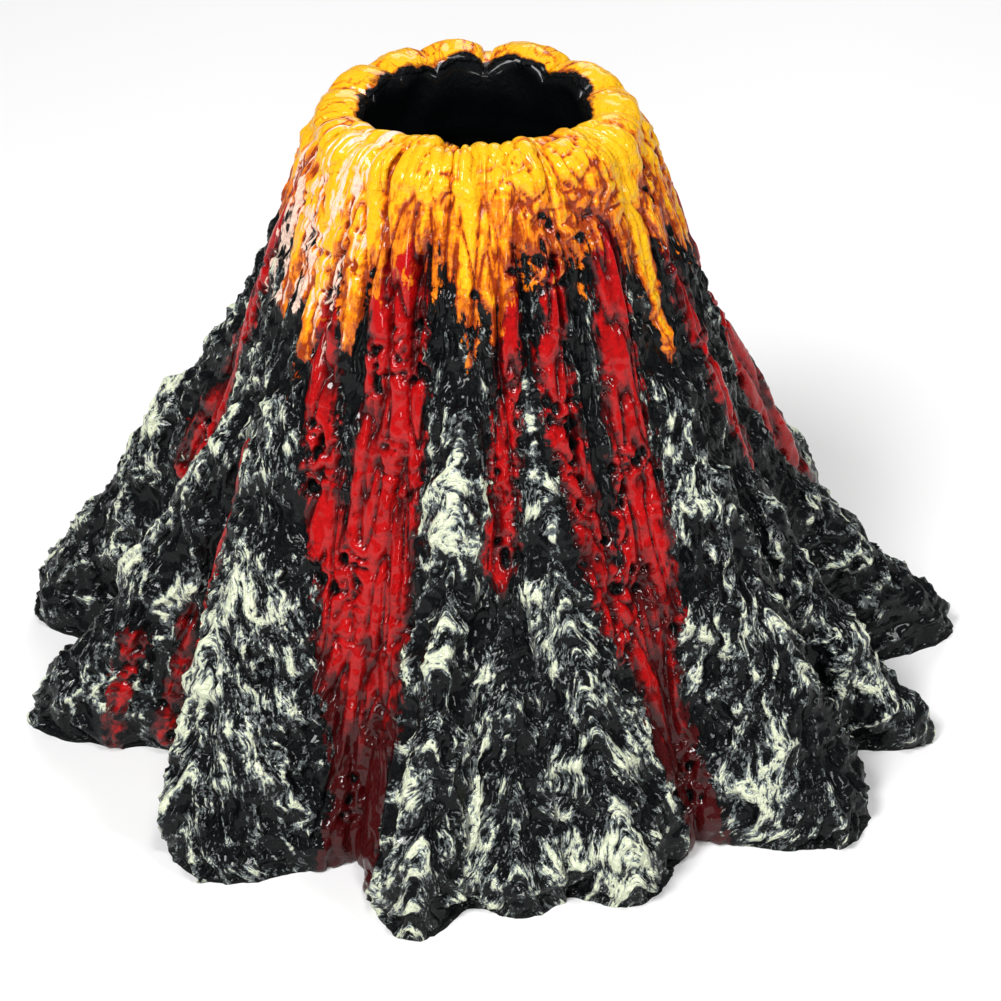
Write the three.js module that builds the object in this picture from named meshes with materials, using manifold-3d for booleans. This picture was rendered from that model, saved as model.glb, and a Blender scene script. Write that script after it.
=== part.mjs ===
// Bubbling volcano ornament for an aquarium, in millimetres, +Z up.
// A hollow cast volcano stands over a small air-stone disc. Air enters the disc through a
// barbed inlet at the rear, leaves the stone as fine bubbles and rises out of the crater.
// The origin is on the tank floor, at the middle of the footprint; -Y is the front.

import * as THREE from 'three';
import { mergeVertices } from 'three/addons/utils/BufferGeometryUtils.js';
import Module from 'manifold-3d';

const wasm = await Module();
wasm.setup();

const GAP = 0.3; // clearance between pieces that touch

// ---------------------------------------------------------------- volcano shell
const HEIGHT = 102; // tank floor to the highest lump of the rim
const FOOT_RADIUS = 53; // valleys between the buttresses, at the floor
const NECK_RADIUS = 22.5; // valleys, carried up to the rim
const SLOPE_POWER = 0.9; // below 1, the flanks flare out towards the floor
const LEAN = -2; // sideways shift of the crater from the footprint's middle
const TOE_HEIGHT = 7; // the buttress toes turn under over this height
const TOE_TUCK = 3; // and by this much

const LIP_HEIGHT = 97.5; // middle of the rounded crater lip
const LIP_RADIUS = 20.4;
const LIP_WIDTH = 4.1; // half width of the lip's rounded section
const LIP_RISE = 3.6; // its half height between two lumps
const LUMP_COUNT = 14; // fat lumps round the rim
const LUMP_RISE = 0.9;
const LUMP_BULGE = 0.7;

const THROAT_RADIUS = LIP_RADIUS - LIP_WIDTH;
const THROAT_FOOT = 88; // below this height the throat opens into the cavity
const CAVITY_RADIUS = 47; // inside of the shell at the floor
const CAVITY_POWER = 0.85;

const NOTCH_WIDTH = 11; // arch for the air hose, at the rear of the foot
const NOTCH_HEIGHT = 11.5;

const AZIMUTH_STEPS = 108;
const FLANK_STEPS = 17;
const LIP_STEPS = 6;
const CAVITY_STEPS = 8;

// Buttress ridges, by compass angle from the front, positive towards +X, in degrees.
// toe and top are the angles at the floor and at the shoulder, where a ridge leaves the neck.
const RIDGES = [
  { toe: -103, top: -104, reach: 81, halfWidth: 10, shoulder: 74 },
  { toe: -78, top: -73, reach: 78, halfWidth: 9, shoulder: 58 },
  { toe: -41, top: -54, reach: 72, halfWidth: 12.5, shoulder: 72 },
  { toe: -10, top: -4, reach: 71, halfWidth: 7.5, shoulder: 76 },
  { toe: 4, top: 3, reach: 65.5, halfWidth: 8, shoulder: 58 },
  { toe: 20, top: 11, reach: 66, halfWidth: 10.5, shoulder: 70 },
  { toe: 52, top: 50, reach: 74, halfWidth: 12, shoulder: 72 },
  { toe: 74, top: 68, reach: 74.5, halfWidth: 7, shoulder: 52 },
  { toe: 98, top: 88, reach: 81, halfWidth: 8, shoulder: 50 },
  { toe: 121, top: 114, reach: 74, halfWidth: 9, shoulder: 66 },
  { toe: 143, top: 138, reach: 73, halfWidth: 9, shoulder: 72 },
  { toe: 162, top: 158, reach: 71, halfWidth: 7, shoulder: 60 },
  { toe: -162, top: -164, reach: 72, halfWidth: 9, shoulder: 72 },
  { toe: -141, top: -144, reach: 73, halfWidth: 8, shoulder: 62 },
  { toe: -122, top: -126, reach: 74, halfWidth: 7, shoulder: 54 },
];

const clamp01 = (value) => Math.min(1, Math.max(0, value));
const radians = (degrees) => (degrees * Math.PI) / 180;
const wrapDegrees = (angle) => ((((angle + 180) % 360) + 360) % 360) - 180;

function valleyRadius(z) {
  return NECK_RADIUS + (FOOT_RADIUS - NECK_RADIUS) * clamp01(1 - z / HEIGHT) ** SLOPE_POWER;
}

// How far one ridge stands out of the valley floor at a compass angle and height.
function ridgeRise(ridge, azimuth, z) {
  const drop = clamp01(1 - z / ridge.shoulder);
  const crest = ridge.toe + (ridge.top - ridge.toe) * (1 - drop);
  const width = ridge.halfWidth * (0.5 + 0.5 * drop);
  const across = Math.abs(wrapDegrees(azimuth - crest)) / width;
  return (ridge.reach - FOOT_RADIUS) * drop * Math.exp(-0.69 * across ** 2.4);
}

// Ridges merge into each other as a smooth maximum.
function buttressRise(azimuth, z) {
  const sum = RIDGES.reduce((total, ridge) => total + ridgeRise(ridge, azimuth, z) ** 4, 0);
  return sum ** 0.25;
}

function flankRadius(azimuth, z) {
  const tuck = TOE_TUCK * clamp01(1 - z / TOE_HEIGHT) ** 2;
  return valleyRadius(z) + buttressRise(azimuth, z) - tuck;
}

function cavityRadius(z) {
  const drop = clamp01(1 - z / THROAT_FOOT);
  return THROAT_RADIUS + (CAVITY_RADIUS - THROAT_RADIUS) * drop ** CAVITY_POWER;
}

// The shell's section at one compass angle, as [radius, z] points: up the outer flank from
// the floor, over the lip and down the inside to the floor.
function shellSection(azimuth) {
  const lump = Math.cos(radians(azimuth * LUMP_COUNT * 0.5)) ** 2;
  const points = [];
  for (let i = 0; i < FLANK_STEPS; i += 1) {
    const z = LIP_HEIGHT * (i / FLANK_STEPS) ** 1.25;
    points.push([flankRadius(azimuth, z), z]);
  }
  for (let i = 0; i <= LIP_STEPS; i += 1) {
    const turn = (Math.PI * i) / LIP_STEPS;
    const bulge = LUMP_BULGE * lump * (1 + Math.cos(turn)) / 2;
    const rise = LIP_RISE + LUMP_RISE * lump;
    points.push([LIP_RADIUS + LIP_WIDTH * Math.cos(turn) + bulge, LIP_HEIGHT + rise * Math.sin(turn)]);
  }
  for (let i = 0; i <= CAVITY_STEPS; i += 1) {
    const z = THROAT_FOOT * (1 - i / CAVITY_STEPS);
    points.push([cavityRadius(z), z]);
  }
  return points;
}

function shellPoint(azimuth, [radius, z]) {
  const turn = radians(azimuth);
  const shift = LEAN * (z / HEIGHT);
  return [radius * Math.sin(turn) + shift, -radius * Math.cos(turn), z];
}

// A closed ring of sections; the last point of each joins its first across the flat foot.
function shellGeometry() {
  const positions = [];
  const indices = [];
  let count = 0;
  for (let a = 0; a < AZIMUTH_STEPS; a += 1) {
    const azimuth = -180 + (360 * a) / AZIMUTH_STEPS;
    const section = shellSection(azimuth);
    count = section.length;
    section.forEach((point) => positions.push(...shellPoint(azimuth, point)));
  }
  for (let a = 0; a < AZIMUTH_STEPS; a += 1) {
    const here = a * count;
    const next = ((a + 1) % AZIMUTH_STEPS) * count;
    for (let i = 0; i < count; i += 1) {
      const up = (i + 1) % count;
      indices.push(here + i, next + i, next + up);
      indices.push(here + i, next + up, here + up);
    }
  }
  const geometry = new THREE.BufferGeometry();
  geometry.setAttribute('position', new THREE.Float32BufferAttribute(positions, 3));
  geometry.setIndex(indices);
  return geometry;
}

// An arch that runs through the rear of the foot, from the cavity to the outside.
function hoseNotchGeometry() {
  const half = NOTCH_WIDTH / 2;
  const spring = NOTCH_HEIGHT - half;
  const outline = new THREE.Shape();
  outline.moveTo(-half, -2);
  outline.lineTo(half, -2);
  outline.lineTo(half, spring);
  outline.absarc(0, spring, half, 0, Math.PI, false);
  outline.lineTo(-half, -2);
  const arch = new THREE.ExtrudeGeometry(outline, { depth: 50, bevelEnabled: false, curveSegments: 12 });
  return arch.rotateX(Math.PI / 2).translate(0, CAVITY_RADIUS + 45, 0);
}

// ---------------------------------------------------------------- air-stone disc
const HOUSING_RADIUS = 22;
const HOUSING_FLOOR = 4; // underside of the housing, held up by the suction cups
const HOUSING_TOP = 17.5;
const WALL = 2;
const LEDGE_TOP = 10.5; // the gasket rests here, over the air chamber
const LEDGE_RADIUS = 17;

const GASKET_LIP = 1.4; // silicone under the stone's edge
const GASKET_SIDE = 1.7; // silicone round the stone's edge
const STONE_TOP = 18.6;
const STONE_DOME = 0.8;

const LUG_REACH = 28; // centre of a suction cup from the middle
const LUG_RADIUS = 5.5;
const LUG_THICKNESS = 2.6;
const LUG_HOLE = 2.1;
const LUG_ANGLES = { front: 0, left: -120, right: 120 };
const CUP_RADIUS = 8;

const INLET_HEIGHT = 8; // axis of the air inlet
const BOSS_RADIUS = 4.2;
const BOSS_END = 27;
const SPIGOT_RADIUS = 2.4;
const SPIGOT_START = 21;
const RING_SECTION = 0.65; // the O-ring's cord radius
const FLANGE_RADIUS = 4;
const FLANGE_THICKNESS = 1.6;
const STEM_RADIUS = 2;
const BARB_RADIUS = 2.6;
const BARB_LENGTH = 3.2;
const BARB_COUNT = 3;
const TIP_RADIUS = 2.2;
const AIR_BORE = 1.1;

const ROUND = 48; // sides of the larger round pieces
const SMALL_ROUND = 28;

// Sections are [radius, height] pairs; one that starts off the axis closes on itself.
function turned(section, sides) {
  const closed = section[0][0] === 0 ? section : [...section, section[0]];
  const points = closed.map(([radius, height]) => new THREE.Vector2(radius, height));
  return new THREE.LatheGeometry(points, sides).rotateX(Math.PI / 2);
}

function upright(section, sides, x = 0, y = 0) {
  return turned(section, sides).translate(x, y, 0);
}

// The same, with its axis along +Y at the inlet's height, its heights running to the rear.
function alongInlet(section, sides) {
  return turned(section, sides).rotateX(-Math.PI / 2).translate(0, 0, INLET_HEIGHT);
}

function cylinder(radius, bottom, top) {
  return [[0, bottom], [radius, bottom], [radius, top], [0, top]];
}

function toManifold(geometry) {
  const bare = geometry.clone();
  bare.deleteAttribute('normal');
  bare.deleteAttribute('uv');
  const merged = mergeVertices(bare, 1e-4);
  const triangles = [];
  const index = merged.index.array;
  for (let i = 0; i < index.length; i += 3) {
    const [a, b, c] = [index[i], index[i + 1], index[i + 2]];
    if (a !== b && b !== c && c !== a) triangles.push(a, b, c);
  }
  const vertProperties = new Float32Array(merged.attributes.position.array);
  const triVerts = new Uint32Array(triangles);
  return new wasm.Manifold(new wasm.Mesh({ numProp: 3, vertProperties, triVerts }));
}

function toGeometry(solid) {
  const mesh = solid.getMesh();
  const geometry = new THREE.BufferGeometry();
  geometry.setAttribute('position', new THREE.BufferAttribute(mesh.vertProperties, 3));
  geometry.setIndex(new THREE.BufferAttribute(mesh.triVerts, 1));
  geometry.computeVertexNormals();
  return geometry;
}

function join(geometries) {
  return geometries.map(toManifold).reduce((whole, piece) => whole.add(piece));
}

function cut(solid, geometries) {
  return geometries.reduce((whole, piece) => whole.subtract(toManifold(piece)), solid);
}

function lugCentre(angle) {
  return [LUG_REACH * Math.sin(radians(angle)), -LUG_REACH * Math.cos(radians(angle))];
}

// A round-ended ear, from under the housing wall out to its suction cup.
function lugGeometry(angle) {
  const outline = new THREE.Shape();
  outline.moveTo(-LUG_RADIUS, -(HOUSING_RADIUS - WALL));
  outline.lineTo(-LUG_RADIUS, -LUG_REACH);
  outline.absarc(0, -LUG_REACH, LUG_RADIUS, Math.PI, 2 * Math.PI, false);
  outline.lineTo(LUG_RADIUS, -(HOUSING_RADIUS - WALL));
  const ear = new THREE.ExtrudeGeometry(outline, {
    depth: LUG_THICKNESS, bevelEnabled: false, curveSegments: 16,
  });
  return ear.translate(0, 0, HOUSING_FLOOR).rotateZ(radians(angle));
}

function housingGeometry() {
  const cup = upright([
    [0, HOUSING_FLOOR], [HOUSING_RADIUS - 1, HOUSING_FLOOR], [HOUSING_RADIUS, HOUSING_FLOOR + 1],
    [HOUSING_RADIUS, HOUSING_TOP - 0.6], [HOUSING_RADIUS - 0.6, HOUSING_TOP],
    [HOUSING_RADIUS - WALL, HOUSING_TOP], [HOUSING_RADIUS - WALL, LEDGE_TOP],
    [LEDGE_RADIUS, LEDGE_TOP], [LEDGE_RADIUS, HOUSING_FLOOR + WALL], [0, HOUSING_FLOOR + WALL],
  ], ROUND);
  const angles = Object.values(LUG_ANGLES);
  const boss = alongInlet(cylinder(BOSS_RADIUS, HOUSING_RADIUS - 1, BOSS_END), SMALL_ROUND);
  const spigotHole = cylinder(SPIGOT_RADIUS + GAP, SPIGOT_START - GAP, BOSS_END + 1);
  const airHole = cylinder(AIR_BORE, LEDGE_RADIUS - 2, BOSS_END);
  const studHole = cylinder(LUG_HOLE, HOUSING_FLOOR - 1, HOUSING_FLOOR + LUG_THICKNESS + 1);
  const body = join([cup, ...angles.map(lugGeometry), boss]);
  return toGeometry(cut(body, [
    alongInlet(spigotHole, SMALL_ROUND),
    alongInlet(airHole, SMALL_ROUND),
    ...angles.map((angle) => upright(studHole, SMALL_ROUND, ...lugCentre(angle))),
  ]));
}

// Silicone sleeve with an inward lip: it grips the stone and seals the air chamber.
function gasketGeometry() {
  const outer = HOUSING_RADIUS - WALL - GAP;
  const inner = outer - GASKET_SIDE;
  const bottom = LEDGE_TOP + GAP;
  const top = HOUSING_TOP - 0.5;
  return upright([
    [LEDGE_RADIUS - 0.6, bottom], [outer, bottom], [outer, top], [inner, top],
    [inner, bottom + GASKET_LIP], [LEDGE_RADIUS - 0.6, bottom + GASKET_LIP],
  ], ROUND);
}

function stoneGeometry() {
  const radius = HOUSING_RADIUS - WALL - GASKET_SIDE - 2 * GAP;
  const bottom = LEDGE_TOP + GASKET_LIP + 2 * GAP;
  return upright([
    [0, bottom], [radius, bottom], [radius, STONE_TOP - STONE_DOME - 0.7],
    [radius - 0.7, STONE_TOP - STONE_DOME], [radius * 0.55, STONE_TOP - STONE_DOME * 0.3], [0, STONE_TOP],
  ], ROUND);
}

// Suction cup with a mushroom stud that is pulled up through its ear.
function suctionCupGeometry(angle) {
  const neck = LUG_HOLE - GAP;
  const shoulder = HOUSING_FLOOR - GAP;
  const seat = HOUSING_FLOOR + LUG_THICKNESS + GAP;
  return upright([
    [0, 2.2], [3.5, 1.7], [CUP_RADIUS - 0.7, 0], [CUP_RADIUS, 0], [CUP_RADIUS, 0.5],
    [4.6, 2.8], [3.4, shoulder], [neck, shoulder], [neck, seat], [neck + 1.3, seat],
    [neck + 1.3, seat + 0.9], [neck + 0.4, seat + 2], [0, seat + 2.3],
  ], SMALL_ROUND, ...lugCentre(angle));
}

// Hose barb: spigot in the boss, flange, stem with a row of barbs, and the bore through it.
function inletBarbGeometry() {
  const flangeStart = BOSS_END + 2 * RING_SECTION + 2 * GAP;
  const flangeEnd = flangeStart + FLANGE_THICKNESS;
  const section = [
    [AIR_BORE, SPIGOT_START], [SPIGOT_RADIUS, SPIGOT_START], [SPIGOT_RADIUS, flangeStart],
    [FLANGE_RADIUS, flangeStart], [FLANGE_RADIUS, flangeEnd], [STEM_RADIUS, flangeEnd],
  ];
  for (let i = 0; i < BARB_COUNT; i += 1) {
    const start = flangeEnd + 1.2 + i * BARB_LENGTH;
    const last = i === BARB_COUNT - 1;
    section.push([STEM_RADIUS, start], [BARB_RADIUS, start]);
    section.push([last ? TIP_RADIUS : STEM_RADIUS, start + BARB_LENGTH * (last ? 1 : 0.85)]);
  }
  const tip = section[section.length - 1][1];
  section.push([AIR_BORE, tip]);
  return alongInlet(section, SMALL_ROUND);
}

// O-ring round the spigot, squeezed between the boss and the barb's flange.
function oRingGeometry() {
  const middle = SPIGOT_RADIUS + GAP + RING_SECTION;
  const ring = new THREE.TorusGeometry(middle, RING_SECTION, 10, SMALL_ROUND);
  return ring.rotateX(Math.PI / 2).translate(0, BOSS_END + GAP + RING_SECTION, INLET_HEIGHT);
}

// ---------------------------------------------------------------- assembly
function material(color, roughness, metalness = 0) {
  return new THREE.MeshStandardMaterial({ color, roughness, metalness });
}

const looks = {
  castResin: material(0x23201f, 0.35),
  blackPlastic: material(0x15181a, 0.45),
  silicone: material(0xc9d2d2, 0.35),
  mineral: material(0x8f9495, 0.95),
};

const ornament = new THREE.Group();

function addPiece(name, geometry, look) {
  const mesh = new THREE.Mesh(geometry, look);
  mesh.name = name;
  ornament.add(mesh);
}

const shell = cut(toManifold(shellGeometry()), [hoseNotchGeometry()]);
addPiece('volcano_shell', toGeometry(shell), looks.castResin);
addPiece('disc_housing', housingGeometry(), looks.blackPlastic);
addPiece('stone_gasket', gasketGeometry(), looks.silicone);
addPiece('air_stone_disc', stoneGeometry(), looks.mineral);
addPiece('inlet_barb', inletBarbGeometry(), looks.blackPlastic);
addPiece('barb_o_ring', oRingGeometry(), looks.silicone);
for (const [side, angle] of Object.entries(LUG_ANGLES)) {
  addPiece(`suction_cup_${side}`, suctionCupGeometry(angle), looks.silicone);
}

export default ornament;
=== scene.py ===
"""The looks of a bubbling volcano ornament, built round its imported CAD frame.

The volcano's own formulas work in millimetres and in degrees round the crater, from the front
(-Y) towards +X; MM turns them into the frame's metres. Everything else is in metres.
"""

import math

import bmesh
import bpy
import numpy as np
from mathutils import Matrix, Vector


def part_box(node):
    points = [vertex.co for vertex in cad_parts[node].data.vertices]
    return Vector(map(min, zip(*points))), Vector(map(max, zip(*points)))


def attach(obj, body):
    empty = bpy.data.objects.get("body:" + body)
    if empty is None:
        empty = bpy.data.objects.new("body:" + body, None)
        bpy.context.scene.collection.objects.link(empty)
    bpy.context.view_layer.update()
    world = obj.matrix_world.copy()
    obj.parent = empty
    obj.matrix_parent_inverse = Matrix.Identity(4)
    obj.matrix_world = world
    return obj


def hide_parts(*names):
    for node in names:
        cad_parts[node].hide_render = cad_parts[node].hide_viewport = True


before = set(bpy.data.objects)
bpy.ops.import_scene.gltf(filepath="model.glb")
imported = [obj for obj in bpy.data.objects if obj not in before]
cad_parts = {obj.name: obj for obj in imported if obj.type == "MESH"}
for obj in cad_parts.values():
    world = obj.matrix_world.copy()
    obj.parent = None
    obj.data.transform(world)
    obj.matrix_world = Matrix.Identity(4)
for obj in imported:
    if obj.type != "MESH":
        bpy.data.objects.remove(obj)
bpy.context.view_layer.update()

MM = 0.001

# ------------------------------------------------------------------ volcano: driving dimensions
HEIGHT = 102.0
FOOT_RADIUS = 53.0
NECK_RADIUS = 22.0
SLOPE_POWER = 0.9
LEAN = -2.0
TOE_HEIGHT = 7.0
TOE_TUCK = 3.0
LIP_HEIGHT = 97.5
LIP_RADIUS = 19.7
LIP_WIDTH = 4.1
LIP_RISE = 1.3
NEAR_RIM_RISE = 2.2  # the near side of the lip stands higher and closes in more
NEAR_RIM_CLOSE = 3.0
THROAT_RADIUS = LIP_RADIUS - LIP_WIDTH
THROAT_FOOT = 88.0
INSIDE_TOP = 76.0  # where the rows of the throat end and those of the plain inside begin
CAVITY_RADIUS = 47.0
CAVITY_POWER = 0.85
NOTCH_HALF = 5.5
NOTCH_HEIGHT = 11.5

GRAIN_SPLAY = 0.38  # how far the grain turns away from a crest as it falls

COLUMNS = 1000
FLANK_ROWS = 240
LIP_ROWS = 28
THROAT_ROWS = 14
CAVITY_ROWS = 16
FOOT_ROWS = 4
INSIDE_STEP = 4  # the inside has one column for this many outside
OUTLINE_HEIGHT = 16.0  # the columns share out the outline that the flank has here
OUTLINE_ANGLES = 7201

# Buttress ridges: angle at the foot, angle at the top, reach, half width, shoulder height.
RIDGES = np.array([
    (-103, -104, 81, 10, 74),
    (-78, -73, 78, 9, 58),
    (-41, -54, 72, 12.5, 72),
    (-10, -4, 71, 7.5, 76),
    (4, 3, 65.5, 8, 58),
    (20, 11, 66, 10.5, 70),
    (52, 50, 74, 12, 72),
    (74, 68, 74.5, 7, 52),
    (98, 88, 81, 8, 50),
    (121, 114, 74, 9, 66),
    (143, 138, 73, 9, 72),
    (162, 158, 71, 7, 60),
    (-162, -164, 72, 9, 72),
    (-141, -144, 73, 8, 62),
    (-122, -126, 74, 7, 54),
], float)

# Lumps of the lip: angle, half width, size. The far side has fat ones, the front fine ones.
FAT_LUMPS = [
    (-169, 13, 1.0), (-145, 13, 0.9), (-121, 13, 1.0), (-96, 13, 0.8), (-74, 10, 0.6),
    (158, 16, 1.0), (126, 15, 0.9), (99, 13, 0.7), (78, 10, 0.6),
]
FAT_LUMP_RISE = 2.4
FINE_LUMP_RISE = 1.1
FINE_LUMP_WIDTH = 3.2

# Knobs on the crests, thick with cream paint: angle and height.
KNOBS = [
    (-5, 68), (-6, 60), (48, 64), (13, 58), (-8, 37), (-3, 29), (19, 34), (-50, 57), (-45, 38),
    (-37, 21), (70, 19), (73, 8), (52, 52),
    (50, 31), (76, 40), (20, 14), (-10, 12), (-78, 40), (-84, 15), (-103, 46), (98, 44), (121, 40),
    (143, 52), (143, 20), (162, 38), (-162, 50), (-160, 18), (-141, 42), (-122, 30),
]
KNOB_RADIUS = 4.2
KNOB_RISE = 1.3

# Streams of red lava: half width at mid height, then (angle, height) down the slope.
STREAMS = [
    (4.9, [(-23, 92), (-21.5, 69), (-22, 46), (-21.5, 25), (-21, 10), (-22, -6)]),
    (2.6, [(-49, 92), (-45, 78), (-41, 66), (-36, 52), (-31, 42), (-27, 31), (-24, 22)]),
    (2.0, [(9, 92), (6, 68), (4, 57), (3, 48)]),
    (3.4, [(40, 93), (37, 74), (35, 56), (33.5, 38), (31, 23), (34, 6), (35, -4)]),
    (2.6, [(24, 92), (18, 75), (20, 62), (22, 50), (24, 40), (30, 28)]),
    (3.2, [(-74, 92), (-82, 76), (-90, 60), (-91, 46), (-91, 36)]),
    (2.0, [(-60, 52), (-59, 32), (-60, 18)]),
    (1.5, [(-31, 34), (-30, 28), (-26, 19)]),
    (0.6, [(-70, 20), (-69, 10), (-69, 1)]),
    (0.8, [(-66, 24), (-65, 12), (-65, 2)]),
    (2.2, [(64, 90), (69, 70), (75, 54), (79, 44)]),
    (3.4, [(104, 90), (107, 60), (109, 34), (110, 20)]),
    (4.4, [(128, 92), (129, 60), (131, 34), (132, 12), (132, -4)]),
    (2.6, [(150, 88), (151, 62), (152, 44)]),
    (4.8, [(-178, 93), (-179, 66), (179, 40), (180, 14), (180, -6)]),
    (2.8, [(-153, 88), (-152, 64), (-151, 42), (-151, 26)]),
    (4.2, [(-132, 92), (-132, 62), (-131, 38), (-131, 12)]),
    (2.6, [(-112, 88), (-114, 62), (-113, 40)]),
]

# Yellow runs that reach below the band on the neck: angle, half width, how far they reach.
BAND_EDGE = 88.2
RUNS = [
    (-100, 7, 8), (-84, 4, 6), (-64, 3.5, 15), (-51, 4.5, 20), (-37, 3.5, 15), (-22, 4, -3), (-3, 3, 8),
    (4, 2.5, 9), (18, 5, -3), (33, 5, -3), (42, 4, -4), (55, 3.5, 17), (67, 2.5, 7), (80, 5, 9),
    (94, 4, 14), (118, 5, 13), (139, 4, 17), (160, 5, 9), (-168, 4, 14), (-143, 5, 16), (-122, 4, 18),
]


# ------------------------------------------------------------------ noise
def smooth(value, low, high):
    """0 below low, 1 above high, with a smooth step between."""
    t = np.clip((value - low) / (high - low), 0, 1)
    return t * t * (3 - 2 * t)


def wrap(angle):
    return (angle + 180) % 360 - 180


class Noise:
    """Seeded gradient noise over points in space, from about -1 to 1."""

    def __init__(self, seed):
        rng = np.random.default_rng(seed)
        self.order = rng.permutation(256)
        ways = rng.normal(size=(256, 3))
        self.ways = ways / np.linalg.norm(ways, axis=1)[:, None]
        self.spots = rng.random((256, 3))

    def pick(self, cell):
        order = self.order
        first = order[cell[:, 0] & 255]
        second = order[(first + cell[:, 1]) & 255]
        return order[(second + cell[:, 2]) & 255]

    def __call__(self, points):
        cell = np.floor(points).astype(int)
        offset = points - cell
        fade = offset**3 * (offset * (offset * 6 - 15) + 10)
        total = np.zeros(len(points))
        for corner in np.ndindex(2, 2, 2):
            corner = np.array(corner)
            weight = np.prod(np.where(corner, fade, 1 - fade), axis=1)
            slope = np.sum(self.ways[self.pick(cell + corner)] * (offset - corner), axis=1)
            total += weight * slope
        return total * 1.7

    def layers(self, points, octaves, gain=0.5):
        """Noise with finer and weaker noise added to it."""
        size = sum(gain**k for k in range(octaves))
        return sum(self(points * 2.03**k + 11.3 * k) * gain**k for k in range(octaves)) / size

    def creases(self, points, octaves=2, gain=0.5):
        """From 0 to 1, with sharp crests."""
        size = sum(gain**k for k in range(octaves))
        crest = sum((1 - np.abs(self(points * 2.1**k + 7.7 * k))) * gain**k for k in range(octaves))
        return (crest / size) ** 2

    def cells(self, points):
        """Distance to the nearest of a set of scattered spots."""
        cell = np.floor(points).astype(int)
        nearest = np.full(len(points), 9.0)
        for step in np.ndindex(3, 3, 3):
            near = cell + np.array(step) - 1
            away = near + self.spots[self.pick(near)] - points
            nearest = np.minimum(nearest, np.sum(away * away, axis=1))
        return np.sqrt(nearest)


# ------------------------------------------------------------------ volcano: form
def valley_radius(z):
    rest = np.clip(1 - z / HEIGHT, 0, 1)
    return NECK_RADIUS + (FOOT_RADIUS - NECK_RADIUS) * rest**SLOPE_POWER


def ridge_offset(ridge, azimuth, z):
    """How far one ridge has dropped from its shoulder, the angle from its crest, its half width."""
    toe, top, _, half, shoulder = ridge
    drop = np.clip(1 - z / shoulder, 0, 1)
    return drop, wrap(azimuth - toe - (top - toe) * (1 - drop)), half * (0.5 + 0.5 * drop)


def ridge_rise(ridge, azimuth, z):
    reach = ridge[2]
    drop, away, width = ridge_offset(ridge, azimuth, z)
    return (reach - FOOT_RADIUS) * drop * np.exp(-0.69 * np.abs(away / width) ** 2.4)


def buttress_rise(azimuth, z):
    return sum(ridge_rise(ridge, azimuth, z) ** 4 for ridge in RIDGES) ** 0.25


def flank_radius(azimuth, z):
    tuck = TOE_TUCK * np.clip(1 - z / TOE_HEIGHT, 0, 1) ** 2
    return valley_radius(z) + buttress_rise(azimuth, z) - tuck


def cavity_radius(z):
    drop = np.clip(1 - z / THROAT_FOOT, 0, 1)
    return THROAT_RADIUS + (CAVITY_RADIUS - THROAT_RADIUS) * drop**CAVITY_POWER


def lip_lumps(azimuth):
    """Height of the lumps round the lip, in millimetres."""
    fat = np.zeros_like(azimuth)
    for centre, half, size in FAT_LUMPS:
        away = wrap(azimuth - centre) / half
        fat = np.maximum(fat, size * np.sqrt(np.clip(1 - away * away, 0, 1)))
    front = 1 - smooth(np.abs(azimuth), 58, 84)
    ring = flow_points(azimuth, np.zeros_like(azimuth), LIP_RADIUS)
    fine = rope(Noise(53)(ring / FINE_LUMP_WIDTH))
    return FAT_LUMP_RISE * fat * (1 - front) + FINE_LUMP_RISE * fine * front


def near_side(azimuth):
    """1 at the front of the crater, falling to 0 at its sides and behind."""
    return np.clip(np.cos(np.radians(azimuth)), 0, 1) ** 2


def throat_shape(azimuth):
    """How far the crater's edge departs from round."""
    inward = -1.6 * np.exp(-((wrap(azimuth - 38) / 20) ** 2))
    outward = 1.7 * np.exp(-((wrap(azimuth - 9) / 13) ** 2))
    left = -0.7 * np.exp(-((wrap(azimuth + 35) / 22) ** 2))
    return inward + outward + left - NEAR_RIM_CLOSE * near_side(azimuth)


def even_columns():
    """Angles that share out the foot's winding outline evenly."""
    fine = np.linspace(-180, 180, OUTLINE_ANGLES)
    radius = flank_radius(fine, np.full_like(fine, OUTLINE_HEIGHT))
    turn = np.radians(fine)
    outline = np.stack([radius * np.sin(turn), radius * np.cos(turn)], 1)
    steps = np.linalg.norm(np.diff(outline, axis=0), axis=1) + 0.6 * FOOT_RADIUS * np.diff(turn)
    length = np.concatenate([[0], np.cumsum(steps)])
    return np.interp(np.arange(COLUMNS) / COLUMNS * length[-1], length, fine)


def flank_sections(azimuth):
    """Radius and height over the flank, row by row from the floor up to the lip."""
    share = np.arange(FLANK_ROWS) / FLANK_ROWS
    z = np.repeat((LIP_HEIGHT * share**1.06)[:, None], len(azimuth), 1)
    return flank_radius(azimuth[None, :], z), z


def lip_sections(azimuth):
    turn = (np.pi * np.arange(LIP_ROWS) / LIP_ROWS)[:, None]
    lump = lip_lumps(azimuth)[None, :]
    shape = throat_shape(azimuth)[None, :] * (1 - np.cos(turn)) / 2
    width = LIP_WIDTH * (0.86 + 0.11 * lump)
    radius = LIP_RADIUS + width * np.cos(turn) + shape + (LIP_WIDTH - width) * np.cos(turn) ** 9
    rise = LIP_RISE + NEAR_RIM_RISE * near_side(azimuth)[None, :] + lump
    return radius, LIP_HEIGHT + rise * np.sin(turn)


def throat_sections(azimuth):
    share = np.arange(THROAT_ROWS) / THROAT_ROWS
    z = np.repeat((LIP_HEIGHT - (LIP_HEIGHT - INSIDE_TOP) * share)[:, None], len(azimuth), 1)
    fade = smooth(z, 84, LIP_HEIGHT)
    return cavity_radius(z) + throat_shape(azimuth)[None, :] * fade, z


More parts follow.
